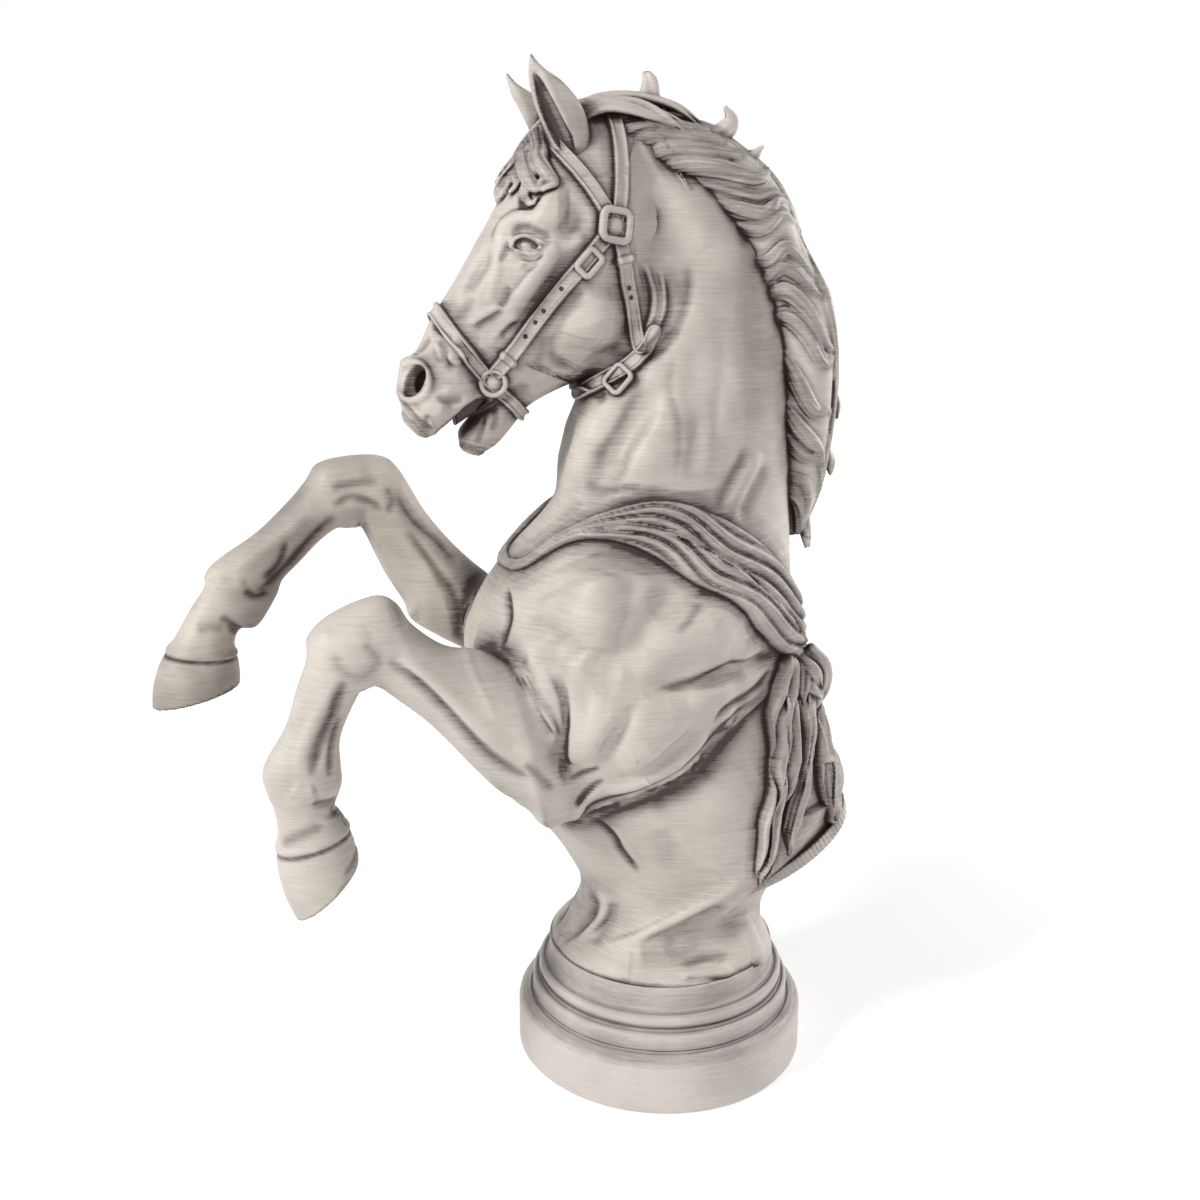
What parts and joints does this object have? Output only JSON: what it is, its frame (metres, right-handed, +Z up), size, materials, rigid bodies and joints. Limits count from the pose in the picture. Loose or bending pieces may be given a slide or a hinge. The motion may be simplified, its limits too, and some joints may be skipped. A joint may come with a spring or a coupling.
{
  "type": "horse bust",
  "caption": "Rearing horse bust in a halter, with raised forelegs, flowing mane, knotted cloth collar and a twisted pedestal on a round moulded base.",
  "frame": {"origin": "middle of the flat underside of the round base", "axes": "+Z up; the horse faces -X and its left side faces -Y"},
  "size_m": [0.1494, 0.064, 0.2078],
  "materials": {
    "body_print": "satin printed plastic in warm light grey with a dark wash in the hollows",
    "base_print": "satin printed plastic, paler, with fine layer lines",
    "hair_print": "satin printed plastic with a strong dark wash between the locks",
    "halter_print": "satin printed plastic with a dark wash along the edges",
    "cloth_print": "satin printed plastic with a dark wash between the folds",
    "hoof_print": "satin printed plastic, paler",
    "pin_plastic": "plain printed plastic"
  },
  "bodies": {
    "root": {"base_plinth": "base_print", "base_step": "base_print", "base_bead": "base_print", "base_drum": "base_print", "base_pin": "pin_plastic", "pedestal": "base_print", "neck": "body_print", "torso": "body_print", "neck_pin": "pin_plastic", "head_pin": "pin_plastic", "hem": "cloth_print", "left_upper_leg": "body_print", "left_lower_leg": "body_print", "left_hoof": "hoof_print", "left_leg_pin": "pin_plastic", "right_upper_leg": "body_print", "right_lower_leg": "body_print", "right_hoof": "hoof_print", "right_leg_pin": "pin_plastic", "head": "body_print", "left_eye": "body_print", "right_eye": "body_print", "lower_jaw": "body_print", "left_ear": "body_print", "right_ear": "body_print", "left_nose_ring": "halter_print", "left_cheek_ring": "halter_print", "right_nose_ring": "halter_print", "right_cheek_ring": "halter_print", "left_cheek_strap": "halter_print", "right_cheek_strap": "halter_print", "noseband": "halter_print", "chin_strap": "halter_print", "crown_strap": "halter_print", "brow_band": "halter_print", "left_jaw_strap": "halter_print", "right_jaw_strap": "halter_print", "throat_collar": "halter_print", "left_keeper": "body_print", "right_keeper": "body_print", "collar_buckle": "halter_print", "upper_mane": "hair_print", "middle_mane": "hair_print", "lower_mane": "hair_print", "forelock": "hair_print", "cloth_collar": "cloth_print", "cloth_knot": "cloth_print", "cloth_tail_1": "cloth_print", "cloth_tail_2": "cloth_print", "cloth_tail_3": "cloth_print"}
  },
  "joints": []
}
